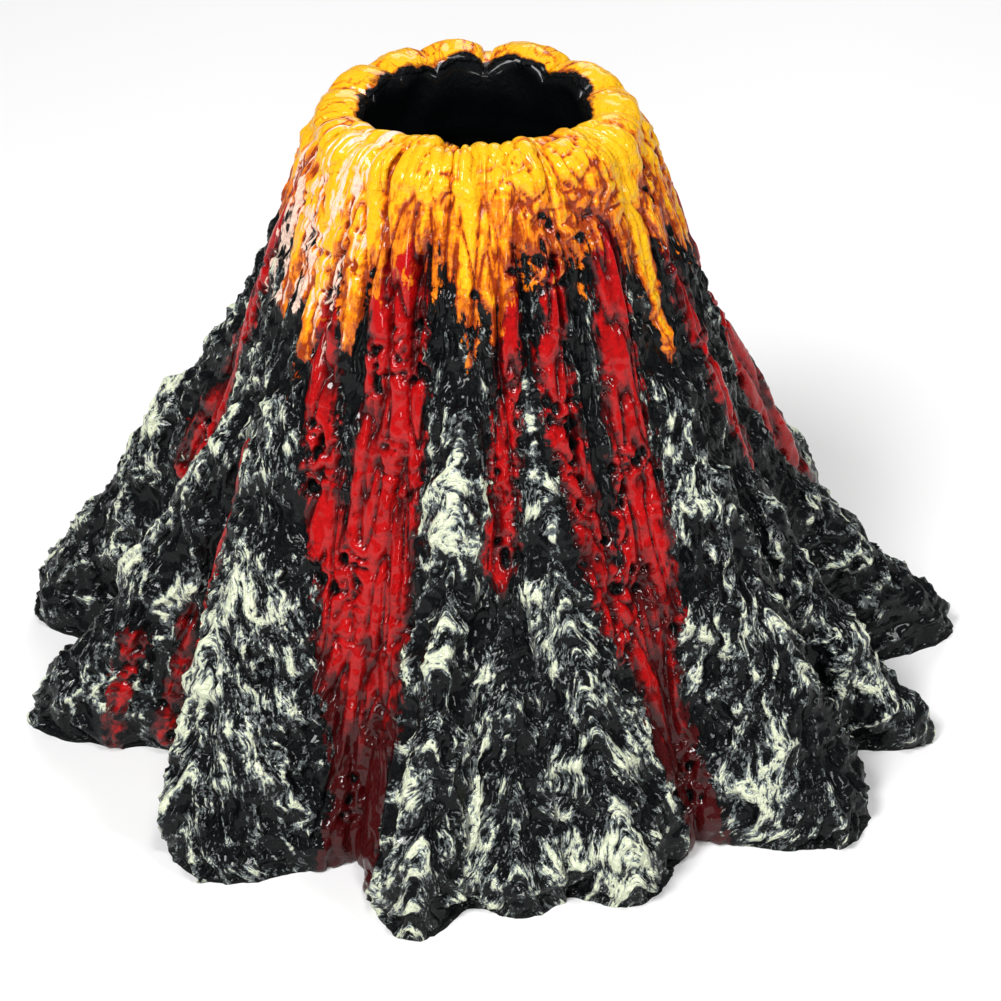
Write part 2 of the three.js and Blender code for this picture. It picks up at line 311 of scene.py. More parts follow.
def inside_sections(count):
    """The plain inside, from the throat down and out across the flat foot."""
    z = INSIDE_TOP * (1 - np.arange(CAVITY_ROWS + 1) / CAVITY_ROWS)
    return np.repeat(cavity_radius(z)[:, None], count, 1), np.repeat(z[:, None], count, 1)


def in_space(azimuth, radius, z):
    turn = np.radians(azimuth)
    shift = LEAN * z / HEIGHT
    return np.stack([radius * np.sin(turn) + shift, -radius * np.cos(turn), z], -1)


def grid_normals(points):
    """Outward normals of a grid of points that closes round its columns."""
    across = np.roll(points, -1, 1) - np.roll(points, 1, 1)
    along = np.gradient(points, axis=0)
    normal = np.cross(across, along)
    return normal / np.maximum(np.linalg.norm(normal, axis=2, keepdims=True), 1e-9)


# ------------------------------------------------------------------ volcano: relief
def flow_points(azimuth, z, girth):
    turn = np.radians(azimuth)
    return np.stack([girth * np.sin(turn), -girth * np.cos(turn), z], -1)


def streaks(noise, azimuth, z, radius, width, length, octaves=2):
    """Noise drawn out down the slope, about as wide at the foot as at the neck."""
    step = 1.35
    level = np.log(np.maximum(radius, 12) / 12) / math.log(step)
    whole = np.floor(level)
    part = smooth(level - whole, 0, 1)
    scale = np.array([1 / width, 1 / width, 1 / length])
    low = noise.layers(flow_points(azimuth, z, 12 * step**whole) * scale + whole[:, None] * 3.1, octaves)
    high = flow_points(azimuth, z, 12 * step ** (whole + 1)) * scale + (whole[:, None] + 1) * 3.1
    mixed = low * (1 - part) + noise.layers(high, octaves) * part
    return mixed / np.sqrt(part**2 + (1 - part) ** 2)


def rope(value):
    """Turns noise into fat round ropes with sharp grooves between them, from 0 to 1."""
    groove = 1 - np.clip(np.abs(value) / 0.42, 0, 1)
    return np.sqrt(1 - groove * groove)


def grain_points(azimuth, z, radius):
    """Millimetres across and along the grain of the rock, and a third way that tells ridges apart.

    The grain leaves each ridge's crest on both sides and runs down, like the barbs of a feather.
    Also how far to the right of its crest each point lies, in half widths of the ridge.
    """
    nearest = np.full_like(z, 1e9)
    across, along, apart, right = (np.zeros_like(z) for _ in range(4))
    for number, ridge in enumerate(RIDGES):
        shoulder = ridge[4]
        _, away, width = ridge_offset(ridge, azimuth, z)
        arc = np.radians(away) * radius
        fall = np.maximum(shoulder - z, 0)
        side = np.sqrt(arc * arc + 1.0)
        close = np.abs(away) / width
        here = close < nearest
        nearest = np.where(here, close, nearest)
        across = np.where(here, side - GRAIN_SPLAY * fall * fall / (fall + 18.0), across)
        along = np.where(here, 1.35 * (HEIGHT - z) + GRAIN_SPLAY * side, along)
        apart = np.where(here, arc / 2 + number * 41.0, apart)
        right = np.where(here, np.sign(away) * close, right)
    return np.stack([across, along, apart], -1), right


def stream_field(azimuth, z, radius):
    """Millimetres inside the edge of the nearest stream of lava; negative outside."""
    best = np.full_like(z, -30.0)
    for half, route in STREAMS:
        angles, heights = np.array(route, float).T
        angles = np.degrees(np.unwrap(np.radians(angles)))
        centre = np.interp(z, heights[::-1], angles[::-1])
        over = np.maximum(z - heights[0], 0) + np.maximum(heights[-1] - z, 0)
        arc = np.abs(np.radians(wrap(azimuth - centre))) * radius
        best = np.maximum(best, half * (0.75 + 0.5 * smooth(HEIGHT - z, 10, 60)) - arc - 0.6 * over)
    return best


def knob_field(azimuth, z, radius):
    """How far up a knob each point lies, from 0 to 1; a knob runs out longest down the slope."""
    best = np.zeros_like(z)
    for angle, level in KNOBS:
        arc = np.radians(wrap(azimuth - angle)) * radius
        rise = z - level
        reach = np.where(rise > 0, 2.6, 7.5)
        best = np.maximum(best, np.exp(-((arc / KNOB_RADIUS) ** 2) - (rise / reach) ** 2))
    return best


def band_field(azimuth, z):
    """Millimetres above the lower edge of the yellow band."""
    edge = np.full_like(z, BAND_EDGE)
    for centre, half, reach in RUNS:
        edge -= reach * np.exp(-np.abs(wrap(azimuth - centre) / half) ** 2)
    return z - edge


def even_out(value):
    return (value - value.mean()) / value.std()


def relief(azimuth, z, radius, points):
    """Height of the relief over the flank and lip, with the fields that the paint follows."""
    rock, fine, drip, pit = Noise(3), Noise(11), Noise(23), Noise(31)
    lava = stream_field(azimuth, z, radius)
    band = band_field(azimuth, z)
    rise = buttress_rise(azimuth, z)
    in_band = smooth(band, -4, 4)
    in_lava = smooth(lava, -1.5, 1.0) * (1 - in_band)
    on_rock = smooth(-lava, -0.5, 2.0) * (1 - in_band)
    below_lip = 1 - smooth(z, 94.5, 98)
    low_down = smooth(HEIGHT - z, 12, 40)

    warp = np.stack([rock.layers(points / 5 + k * 17.1, 2) for k in range(3)], -1)
    grain, right = grain_points(azimuth, z, radius)
    grain += warp * np.array([0.9, 2.2, 0.8])
    folds = rock.creases(grain / np.array([7.5, 32.0, 15.0]), 2) - 0.5
    barbs = fine.creases(grain / np.array([3.0, 16.0, 12.0]), 2) - 0.5
    strands = pit.creases(grain / np.array([1.5, 8.0, 9.0]), 1) - 0.6
    boulders = rock.creases(points / 11 + warp * 0.4) - 0.5
    nubs = fine.creases(points[:, ::-1] / 2.0 + warp * 0.6, 1) - 0.6

    flutes = rope(streaks(drip, azimuth, z, radius, 3.6, 40, 1))
    ropes = rope(streaks(pit, azimuth, z, radius, 2.1, 15, 1))
    wide = streaks(rock, azimuth, z, radius, 6, 60)
    bubbles = smooth(0.46 - pit.cells(points * np.array([1, 1, 0.7]) / 2.3 + warp * 0.35), 0, 0.26)
    pitted = smooth(rock.layers(points / 10 + 5, 2), -0.05, 0.3)
    holes = bubbles * pitted * below_lip * (1 - 0.4 * in_band)
    clots = rope(fine(points / 2.7 + warp * 0.5))
    clotted = np.maximum(pitted, smooth(azimuth, 2, 14) * smooth(-azimuth, -60, -48) * in_band)

    crag = smooth(rise, 0.5, 8)
    height = on_rock * (crag * (3.0 * folds + 0.4) + 1.6 * barbs + 0.85 * strands + 0.2 * nubs)
    height -= 1.8 * on_rock * crag
    knobs = knob_field(azimuth, z, radius)
    height += KNOB_RISE * knobs * on_rock
    height += 1.5 * boulders * low_down * (1 - 0.6 * in_lava)
    blobby = clots * clotted + ropes * (1 - clotted)
    height += in_lava * (1.3 * flutes + 1.5 * blobby - 1.3 * holes - 1.6)
    to_rim = np.where(np.abs(azimuth) < 70, 1.0, below_lip)
    height += smooth(z, 60, 84) * to_rim * (0.9 * wide + 1.3 * flutes - 0.8)
    height += in_band * to_rim * (0.9 * blobby - 1.2 * holes - 0.4)
    height += in_band * 0.35 * fine.layers(points / 2.8, 2)

    crest = 0.9 * even_out(barbs) + 0.6 * even_out(folds) + 0.9 * even_out(strands)
    crest += 0.35 * even_out(boulders)
    crest = even_out(crest + 0.3 * even_out(nubs))
    crest += (0.6 + 0.7 * smooth(z, 45, 62)) * knobs
    # Painted shade: less cream on the right flank and to the right of each crest, and more to the left of
    # it, as light from the left would fall.
    crest -= 0.85 * smooth(azimuth, 36, 50) * (1 - smooth(azimuth, 110, 140))
    crest += 0.3 - 0.9 * smooth(right, 0.0, 0.9)
    # How raised the lava and the band are, from 0 in grooves and holes to 1 on ropes; the shader darkens
    # the red in the grooves with it as painted shade.
    low = np.minimum(0.35 + 0.65 * flutes, 0.25 + 0.75 * blobby) - 0.8 * holes
    # Pale streaks high on the left of the neck, painted pinkish white in the shader: partly paint, partly a
    # painted highlight.
    pale = streaks(drip, azimuth, z, radius, 1.2, 12)
    pale = pale - 0.15 - 0.9 * smooth(np.abs(wrap(azimuth + 58)), 14, 34) - smooth(-z, -78, -66)
    fields = {"lava": lava, "band": band, "crest": crest, "rise": rise, "relief": low, "pale": pale}
    fields["level"] = z
    fields["holes"] = holes * np.maximum(in_lava, in_band)
    # Towards the foot the lava runs narrower and darker, except round -63 degrees.
    fields["foot_fade"] = (1 - smooth(z, 2, 36)) * smooth(np.abs(azimuth + 63), 8, 24)
    return height, fields, grain


# ------------------------------------------------------------------ volcano: mesh
def ring_faces(first, count, rows):
    """Quads over rows of count points that close round."""
    row, column = np.mgrid[0 : rows - 1, 0:count]
    here = first + row * count + column
    beside = first + row * count + (column + 1) % count
    return np.stack([here, beside, beside + count, here + count], -1).reshape(-1, 4).tolist()


def fan_faces(fine, coarse, count):
    """Joins a fine ring to a coarse one with one point for every INSIDE_STEP of the fine."""
    faces = []
    for j in range(count):
        ring = [fine + (INSIDE_STEP * j + k) % (INSIDE_STEP * count) for k in range(INSIDE_STEP + 1)]
        here = coarse + j
        beside = coarse + (j + 1) % count
        middle = INSIDE_STEP // 2
        for k in range(INSIDE_STEP):
            faces.append([ring[k], ring[k + 1], here if k < middle else beside])
        faces.append([here, ring[middle], beside])
    return faces


def hose_notch(points):
    """Pulls the rear of the foot up over the arch that the air hose passes through."""
    x, y, z = points.T
    arch = NOTCH_HEIGHT - NOTCH_HALF + np.sqrt(np.clip(NOTCH_HALF**2 - x * x, 0, None))
    inside = (np.abs(x) < NOTCH_HALF) & (y > 0) & (z < arch)
    points[inside, 2] = arch[inside]
    return points


def make_volcano():
    azimuth = even_columns()
    sections = [flank_sections(azimuth), lip_sections(azimuth), throat_sections(azimuth)]
    radius = np.concatenate([s[0] for s in sections])
    z = np.concatenate([s[1] for s in sections])
    angle = np.repeat(azimuth[None, :], len(radius), 0)
    points = in_space(angle, radius, z)
    normals = grid_normals(points)

    flat = [a.reshape(-1) for a in (angle, z, radius)]
    height, fields, grain = relief(*flat, points.reshape(-1, 3))
    rows = np.arange(len(radius))[:, None]
    depth = np.clip((rows - FLANK_ROWS - LIP_ROWS * 0.5) / (LIP_ROWS * 0.5), 0, 1)
    inner = Noise(41).layers(points.reshape(-1, 3) / 7, 1).reshape(z.shape)
    height = height.reshape(z.shape) * (1 - smooth(depth, 0, 1)) + 1.1 * inner * smooth(depth, 0.2, 1)
    normals[..., 2] *= smooth(z, 0.0, 5.0) * 0.999 + 0.001
    height = height * smooth(rows, -1, 1.5)
    points = points + normals * height[..., None]
    points[..., 2] = np.maximum(points[..., 2], 0.0)
    points[0, :, 2] = 0.0

    count = COLUMNS // INSIDE_STEP
    inside_angle = azimuth[::INSIDE_STEP]
    inside_radius, inside_z = inside_sections(count)
    inside_angles = np.repeat(inside_angle[None, :], len(inside_radius), 0)
    inside = in_space(inside_angles, inside_radius, inside_z)
    outer_foot = points[0, ::INSIDE_STEP]
    share = (np.arange(1, FOOT_ROWS) / FOOT_ROWS)[:, None, None]
    foot = inside[-1] * (1 - share) + outer_foot * share
    inside = np.concatenate([inside, foot])

    outer_count = points.shape[0] * COLUMNS
    vertices = np.concatenate([points.reshape(-1, 3), inside.reshape(-1, 3)])
    faces = ring_faces(0, COLUMNS, points.shape[0])
    faces += ring_faces(outer_count, count, inside.shape[0])
    faces += fan_faces(outer_count - COLUMNS, outer_count, count)
    last = outer_count + (inside.shape[0] - 1) * count
    faces += [face[::-1] for face in fan_faces(0, last, count)]

    vertices = hose_notch(vertices)
    mesh = bpy.data.meshes.new("volcano_skin")
    mesh.from_pydata((vertices * MM).tolist(), [], faces)
    mesh.validate()
    mesh.shade_smooth()

    hidden = len(vertices) - outer_count
    fields["inside"] = (depth * (1 + 0.45 * smooth(np.abs(angle), 60, 120))).reshape(-1)
    for name, value in fields.items():
        rest = {"inside": 2.0, "lava": -30.0, "band": -60.0, "pale": -9.0}.get(name, 0.0)
        whole = np.concatenate([value, np.full(hidden, rest)])
        mesh.attributes.new(name, "FLOAT", "POINT").data.foreach_set("value", whole)
    flow = flow_points(np.concatenate([flat[0], np.zeros(hidden)]), vertices[:, 2] * 0.28, 38.0)
    mesh.attributes.new("flow", "FLOAT_VECTOR", "POINT").data.foreach_set("vector", flow.reshape(-1))
    grain = np.concatenate([grain, np.zeros((hidden, 3))])
    mesh.attributes.new("grain", "FLOAT_VECTOR", "POINT").data.foreach_set("vector", grain.reshape(-1))
    piece = bpy.data.objects.new("volcano_skin", mesh)
    bpy.context.scene.collection.objects.link(piece)
    return piece


# ------------------------------------------------------------------ bubbler: driving dimensions
GAP = 0.3
WALL = 2.0
STONE_LOW, STONE_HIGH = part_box("air_stone_disc")
GASKET_LOW, GASKET_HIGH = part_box("stone_gasket")
HOUSING_LOW, HOUSING_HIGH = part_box("disc_housing")
RING_LOW, RING_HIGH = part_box("barb_o_ring")
BARB_LOW, BARB_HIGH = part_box("inlet_barb")

HOUSING_RADIUS = GASKET_HIGH[0] / MM + GAP + WALL
HOUSING_FLOOR = HOUSING_LOW[2] / MM
HOUSING_TOP = HOUSING_HIGH[2] / MM
LEDGE_TOP = GASKET_LOW[2] / MM - GAP
LEDGE_RADIUS = 17.0
EAR_RADIUS = 5.5
EAR_THICKNESS = 2.6
EAR_HOLE = 2.1
EAR_ANGLES = {"front": 0, "left": -120, "right": 120}
CUP_RADIUS = 8.0
INLET_HEIGHT = (BARB_LOW[2] + BARB_HIGH[2]) / 2 / MM
BOSS_RADIUS = 4.2
BOSS_END = RING_LOW[1] / MM - GAP
SPIGOT_RADIUS = 2.4
AIR_BORE = 1.1
BARB_RADIUS = 2.6
STEM_RADIUS = 2.0
BARB_LENGTH = 3.2
STONE_GRAIN = 0.9
STONE_MESH = 0.35

ROUND = 128  # sides of the larger turned pieces
SMALL_ROUND = 72


# ------------------------------------------------------------------ bubbler: forms
def rounded(section, bevel, closed=False, steps=5):
    """The section with an arc in place of each corner, and a point just past each end of it."""
    points = [np.array(point, float) for point in section]
    count = len(points)
    corners = range(count) if closed else range(1, count - 1)
    out = [] if closed else [points[0]]
    for k in corners:
        here = points[k]
        ways = [points[k - 1] - here, points[(k + 1) % count] - here]
        lengths = [np.linalg.norm(way) for way in ways]
        reach = min(bevel, 0.42 * min(lengths))
        start, end = (here + way / length * reach for way, length in zip(ways, lengths))
        out.append(here + (start - here) * 1.15)
        for share in np.linspace(0, 1, steps):
            out.append((1 - share) ** 2 * start + 2 * share * (1 - share) * here + share**2 * end)
        out.append(here + (end - here) * 1.15)
    if not closed:
        out.append(points[-1])
    return out


def add_mesh(name, vertices, faces):
    """A new object from millimetre vertices, with its faces turned outwards."""
    mesh = bpy.data.meshes.new(name)
    mesh.from_pydata([tuple(np.array(v) * MM) for v in vertices], [], faces)
    shape = bmesh.new()
    shape.from_mesh(mesh)
    bmesh.ops.remove_doubles(shape, verts=shape.verts, dist=0.002 * MM)
    bmesh.ops.dissolve_degenerate(shape, edges=shape.edges, dist=0.001 * MM)
    bmesh.ops.recalc_face_normals(shape, faces=shape.faces)
    shape.to_mesh(mesh)
    shape.free()
    piece = bpy.data.objects.new(name, mesh)
    bpy.context.scene.collection.objects.link(piece)
    return piece


def turned(name, section, sides=ROUND, centre=(0, 0), closed=False, along_inlet=False):
    """Turns a section of (radius, height) points round an upright axis, or round the inlet's."""
    section = np.array(section)
    turn = np.arange(sides) / sides * 2 * np.pi
    x = section[:, :1] * np.cos(turn)
    y = section[:, :1] * np.sin(turn)
    height = np.repeat(section[:, 1:], sides, 1)
    if along_inlet:
        grid = np.stack([x, height, y + INLET_HEIGHT], -1)
    else:
        grid = np.stack([x + centre[0], y + centre[1], height], -1)
    faces = ring_faces(0, sides, len(section))
    if closed:
        last = (len(section) - 1) * sides
        faces += [[last + j, last + (j + 1) % sides, (j + 1) % sides, j] for j in range(sides)]
    return add_mesh(name, grid.reshape(-1, 3), faces)


def cylinder(radius, bottom, top):
    return [(0, bottom), (radius, bottom), (radius, top), (0, top)]


def combine(base, others, operation):
    """Joins the others to the base, or cuts them out of it."""
    for other in others:
        change = base.modifiers.new("change", "BOOLEAN")
        change.operation = operation
        change.solver = "EXACT"
        change.object = other
        evaluated = base.evaluated_get(bpy.context.evaluated_depsgraph_get())
        mesh = bpy.data.meshes.new_from_object(evaluated)
        base.modifiers.clear()
        base.data = mesh
        bpy.data.objects.remove(other)
    return base


def ear_centre(angle):
    """Middle of the suction cup that hangs from the ear at this angle."""
    side = next(name for name, value in EAR_ANGLES.items() if value == angle)
    low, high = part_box(f"suction_cup_{side}")
    return (low[0] + high[0]) / 2 / MM, (low[1] + high[1]) / 2 / MM


def make_ear(angle):
    """A round-ended ear with softened edges, from under the housing's wall out to its cup."""
    centre = np.array(ear_centre(angle))
    out = centre / np.linalg.norm(centre)
    side = np.array([-out[1], out[0]])
    turn = np.linspace(-np.pi / 2, np.pi / 2, 33)
    top = HOUSING_FLOOR + EAR_THICKNESS
    levels = [(0.35, HOUSING_FLOOR), (0.1, HOUSING_FLOOR + 0.1), (0, HOUSING_FLOOR + 0.35)]
    levels += [(0, top - 0.35), (0.1, top - 0.1), (0.35, top)]
    vertices = []
    for shrink, level in levels:
        reach = EAR_RADIUS - shrink
        outline = [centre + reach * (np.cos(t) * out + np.sin(t) * side) for t in turn]
        start = out * (HOUSING_RADIUS - WALL)
        outline = [start - reach * side, *outline, start + reach * side]
        vertices += [(*point, level) for point in outline]
    count = len(turn) + 2
    faces = ring_faces(0, count, len(levels))
    faces.append(list(range(count)))
    faces.append(list(range(count * (len(levels) - 1), count * len(levels))))
    return add_mesh("ear", vertices, faces)


def make_housing():
    inner = HOUSING_RADIUS - WALL
    cup = turned("housing", rounded([
        (0, HOUSING_FLOOR), (HOUSING_RADIUS, HOUSING_FLOOR), (HOUSING_RADIUS, HOUSING_TOP),
        (inner, HOUSING_TOP), (inner, LEDGE_TOP), (LEDGE_RADIUS, LEDGE_TOP),
        (LEDGE_RADIUS, HOUSING_FLOOR + WALL), (0, HOUSING_FLOOR + WALL),
    ], 0.7))
    boss_section = rounded(cylinder(BOSS_RADIUS, HOUSING_RADIUS - 1, BOSS_END), 0.4)
    boss = turned("boss", boss_section, SMALL_ROUND, along_inlet=True)
    spigot = cylinder(SPIGOT_RADIUS + GAP, HOUSING_RADIUS - 1 - GAP, BOSS_END + 1)
    air = cylinder(AIR_BORE, LEDGE_RADIUS - 2, BOSS_END)
    bores = [turned("bore", hole, SMALL_ROUND, along_inlet=True) for hole in (spigot, air)]
    stud = cylinder(EAR_HOLE, HOUSING_FLOOR - 1, HOUSING_FLOOR + EAR_THICKNESS + 1)
    for angle in EAR_ANGLES.values():
        bores.append(turned("bore", stud, SMALL_ROUND, ear_centre(angle)))
    ears = [make_ear(angle) for angle in EAR_ANGLES.values()]
    return combine(combine(cup, [boss, *ears], "UNION"), bores, "DIFFERENCE")


def make_gasket():
    outer = GASKET_HIGH[0] / MM
    inner = STONE_HIGH[0] / MM + GAP
    low, high = GASKET_LOW[2] / MM, GASKET_HIGH[2] / MM
    lip = STONE_LOW[2] / MM - GAP
    section = [
        (LEDGE_RADIUS - 0.6, low), (outer, low), (outer, high), (inner, high), (inner, lip),
        (LEDGE_RADIUS - 0.6, lip),
    ]
    return turned("gasket", rounded(section, 0.5, closed=True), closed=True)


def make_stone():
    """A disc of bonded grains, with a slightly domed top and worn edges."""
    radius, low, high = STONE_HIGH[0] / MM, STONE_LOW[2] / MM, STONE_HIGH[2] / MM
    rim = high - 0.8
    section = rounded([(0, low), (radius, low), (radius, rim), (radius * 0.55, high - 0.2), (0, high)], 0.9)
    fine = [section[0]]
    for start, end in zip(section, section[1:]):
        count = max(1, round(float(np.linalg.norm(end - start)) / STONE_MESH))
        fine += [start + (end - start) * (k + 1) / count for k in range(count)]
    stone = turned("stone", fine, 320)
    points = np.array([vertex.co for vertex in stone.data.vertices]) / MM
    normals = np.array([vertex.normal for vertex in stone.data.vertices])
    grains = Noise(61).cells(points / STONE_GRAIN)
    pores = smooth(Noise(67).layers(points / 1.1, 2), 0.2, 0.5)
    depth = 0.22 * np.minimum(grains, 0.8) + 0.22 * pores
    stone.data.vertices.foreach_set("co", ((points - normals * depth[:, None]) * MM).reshape(-1))
    return stone


def make_suction_cup(side):
    """A bell with a thin lip, and the mushroom stud that is pulled up through its ear."""
    neck = EAR_HOLE - GAP
    seat = HOUSING_FLOOR + EAR_THICKNESS + GAP
    shoulder = HOUSING_FLOOR - GAP
    cap = neck + 1.3
    underside = [(0, 2.2), (3.5, 1.7), (5.6, 0.75), (CUP_RADIUS - 0.7, 0), (CUP_RADIUS, 0)]
    bell = [(CUP_RADIUS, 0.5), (6.4, 1.35), (4.6, 2.6), (3.4, shoulder), (neck, shoulder)]
    stud = [(neck, seat), (cap, seat), (cap, seat + 0.9), (cap - 0.9, seat + 2), (0, seat + 2.3)]
    section = rounded(underside + bell + stud, 0.8)
    return turned(f"cup_{side}", section, SMALL_ROUND, ear_centre(EAR_ANGLES[side]))


def make_barb():
    """Spigot, flange, a row of barbs and the air bore through them."""
    flange = RING_HIGH[1] / MM + GAP
    section = [
        (AIR_BORE, BARB_LOW[1] / MM), (SPIGOT_RADIUS, BARB_LOW[1] / MM), (SPIGOT_RADIUS, flange),
        (BARB_HIGH[0] / MM, flange), (BARB_HIGH[0] / MM, flange + 1.6), (STEM_RADIUS, flange + 1.6),
    ]
    tip = BARB_HIGH[1] / MM
    for start in (tip - 3 * BARB_LENGTH, tip - 2 * BARB_LENGTH):
        section += [(STEM_RADIUS, start), (BARB_RADIUS, start), (STEM_RADIUS, start + BARB_LENGTH * 0.85)]
    section += [(STEM_RADIUS, tip - BARB_LENGTH), (BARB_RADIUS, tip - BARB_LENGTH)]
    section += [(STEM_RADIUS + 0.2, tip), (AIR_BORE, tip)]
    return turned("barb", rounded(section, 0.14, closed=True), SMALL_ROUND, closed=True, along_inlet=True)


def make_o_ring():
    cord = (RING_HIGH[1] - RING_LOW[1]) / 2 / MM
    middle = RING_HIGH[0] / MM - cord
    centre = (RING_HIGH[1] + RING_LOW[1]) / 2 / MM
    turn = np.arange(24) / 24 * 2 * np.pi
    section = [(middle + cord * np.cos(t), centre + cord * np.sin(t)) for t in turn]
    return turned("o_ring", section, ROUND, closed=True, along_inlet=True)


# ------------------------------------------------------------------ materials
class Nodes:
    """A short way to build one material's node tree."""

    def __init__(self, name):
        self.material = bpy.data.materials.new(name)
        self.material.use_nodes = True
        self.tree = self.material.node_tree
        self.shader = self.tree.nodes["Principled BSDF"]
        self.place = self.tree.nodes.new("ShaderNodeTexCoord").outputs["Object"]

    def put(self, socket, value):
        if isinstance(value, bpy.types.NodeSocket):
            self.tree.links.new(value, socket)
        elif value is not None:
            socket.default_value = value

    def set(self, **values):
        for name, value in values.items():
            self.put(self.shader.inputs[name.replace("_", " ")], value)

    def attribute(self, name, output="Fac"):
        node = self.tree.nodes.new("ShaderNodeAttribute")
        node.attribute_name = name
        return node.outputs[output]

    def noise(self, scale, detail=3.0, rough=0.55, place=None, warp=0.0, output="Fac"):
        node = self.tree.nodes.new("ShaderNodeTexNoise")
        self.put(node.inputs["Vector"], place or self.place)
        node.inputs["Scale"].default_value = scale
        node.inputs["Detail"].default_value = detail
        node.inputs["Roughness"].default_value = rough
        node.inputs["Distortion"].default_value = warp
        return node.outputs[output]

    def cells(self, scale):
        node = self.tree.nodes.new("ShaderNodeTexVoronoi")
        self.put(node.inputs["Vector"], self.place)
        node.inputs["Scale"].default_value = scale
        return node.outputs["Distance"]

    def math(self, operation, a, b=None, c=None):
        node = self.tree.nodes.new("ShaderNodeMath")
        node.operation = operation
        for socket, value in zip(node.inputs, (a, b, c)):
            self.put(socket, value)
        return node.outputs[0]

    def step(self, value, low, high, start=0.0, end=1.0):
        """A smooth step from start to end as value goes from low to high."""
        node = self.tree.nodes.new("ShaderNodeMapRange")
        node.interpolation_type = "SMOOTHSTEP"
        self.put(node.inputs["Value"], value)
        for name, number in (("From Min", low), ("From Max", high), ("To Min", start), ("To Max", end)):
            node.inputs[name].default_value = number
        return node.outputs["Result"]

    def mix(self, share, a, b):
        node = self.tree.nodes.new("ShaderNodeMix")
        node.data_type = "RGBA"
        self.put(node.inputs["Factor"], share)
        colours = [socket for socket in node.inputs if socket.type == "RGBA"]
        self.put(colours[0], a)
        self.put(colours[1], b)
        return next(socket for socket in node.outputs if socket.type == "RGBA")

    def stretch(self, place, scale):
        node = self.tree.nodes.new("ShaderNodeVectorMath")
        node.operation = "MULTIPLY"
        self.put(node.inputs[0], place)
        node.inputs[1].default_value = scale
        return node.outputs[0]

    def bump(self, height, distance, strength):
        node = self.tree.nodes.new("ShaderNodeBump")
        node.inputs["Strength"].default_value = strength
        node.inputs["Distance"].default_value = distance
        self.put(node.inputs["Height"], height)
        return node.outputs["Normal"]


BLACK = (0.002, 0.0025, 0.003, 1)
SOOT = (0.003, 0.004, 0.0045, 1)
HAZE_AND_GLINT = (0.10, 0.115, 0.115, 1)
CREAM = (0.74, 0.79, 0.58, 1)
PALE = (0.42, 0.47, 0.46, 1)
RED = (0.43, 0.002, 0.003, 1)
DEEP_RED_AND_SHADE = (0.045, 0.001, 0.0015, 1)
YELLOW = (0.86, 0.44, 0.008, 1)
ORANGE = (0.78, 0.20, 0.006, 1)
RUST = (0.30, 0.035, 0.004, 1)
BLUSH_AND_HIGHLIGHT = (0.86, 0.62, 0.50, 1)


def drybrush(n, colour, crest, ragged):
    """Cream paint that caught only on what stands out, fine strokes and patches on the crests, with grey
    specks over the black that are partly paint and partly painted glints.
    """
    grain = n.attribute("grain", "Vector")
    strokes = n.noise(1.0, 3, 0.6, place=n.stretch(grain, (1.7, 0.25, 0.42)), warp=0.35)
    hairs = n.noise(1.0, 2, 0.6, place=n.stretch(grain, (4.2, 0.8, 0.8)), warp=0.4)
    patchy = n.noise(80, 2, 0.5)
    high = n.math("MULTIPLY_ADD", strokes, 8.0, n.math("MULTIPLY", crest, 0.9))
    high = n.math("MULTIPLY_ADD", hairs, 5.0, high)
    high = n.math("MULTIPLY_ADD", ragged, 2.5, high)
    high = n.math("MULTIPLY_ADD", patchy, 3.5, high)
    rise = n.attribute("rise")
    high = n.math("ADD", high, n.step(rise, 0.5, 9.0, -10.3, -9.7))
    high = n.math("ADD", high, n.step(rise, 12.0, 21.0, 0.0, -0.95))
    high = n.math("ADD", high, n.step(n.attribute("holes"), 0.1, 0.5, 0.0, -4.0))
    high = n.math("ADD", high, n.step(n.attribute("level"), 60, 90, 0.0, -1.4))
    # Fine grey specks over the black: partly a dust of dry paint, partly painted glints of light.
    dust_and_glints = n.math("MULTIPLY_ADD", n.noise(1500, 2, 0.6, warp=1.0), 5.0, high)
    colour = n.mix(n.step(dust_and_glints, 2.40, 2.70), colour, HAZE_AND_GLINT)
    colour = n.mix(n.step(high, 0.60, 0.90), colour, PALE)
    return n.mix(n.step(high, 0.95, 1.15), colour, CREAM), high


